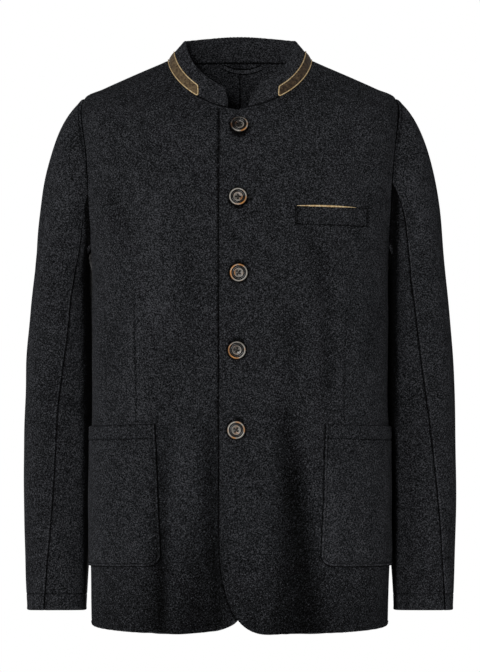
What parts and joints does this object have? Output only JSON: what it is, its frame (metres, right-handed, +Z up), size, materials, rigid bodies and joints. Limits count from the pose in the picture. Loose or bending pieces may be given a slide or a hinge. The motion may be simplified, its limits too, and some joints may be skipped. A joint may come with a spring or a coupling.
{
  "type": "jacket",
  "caption": "Hip-length milled-wool jacket with a stand collar banded in suede, a buttoned front, patch pockets, a chest welt and long sleeves, hollow as when worn.",
  "frame": {"origin": "centre of the neck opening, level with the points where the shoulder seams meet the collar", "axes": "+Z up, the front faces -Y, +X towards the wearer's left"},
  "size_m": [0.5694, 0.2787, 0.7737],
  "materials": {
    "milled_wool": "milled, matt",
    "suede": "brushed nap",
    "piping": "smooth",
    "horn": "polished horn"
  },
  "bodies": {
    "root": {"front_left": "milled_wool", "front_right": "milled_wool", "back_left": "milled_wool", "back_right": "milled_wool", "sleeve_upper_left": "milled_wool", "sleeve_upper_right": "milled_wool", "sleeve_under_left": "milled_wool", "sleeve_under_right": "milled_wool", "collar": "milled_wool", "pocket_left": "milled_wool", "pocket_right": "milled_wool", "chest_welt": "milled_wool", "hanger_loop": "milled_wool", "collar_inset": "suede", "collar_piping": "piping", "chest_welt_piping": "piping", "button_1": "horn", "button_2": "horn", "button_3": "horn", "button_4": "horn", "button_5": "horn"}
  },
  "joints": []
}
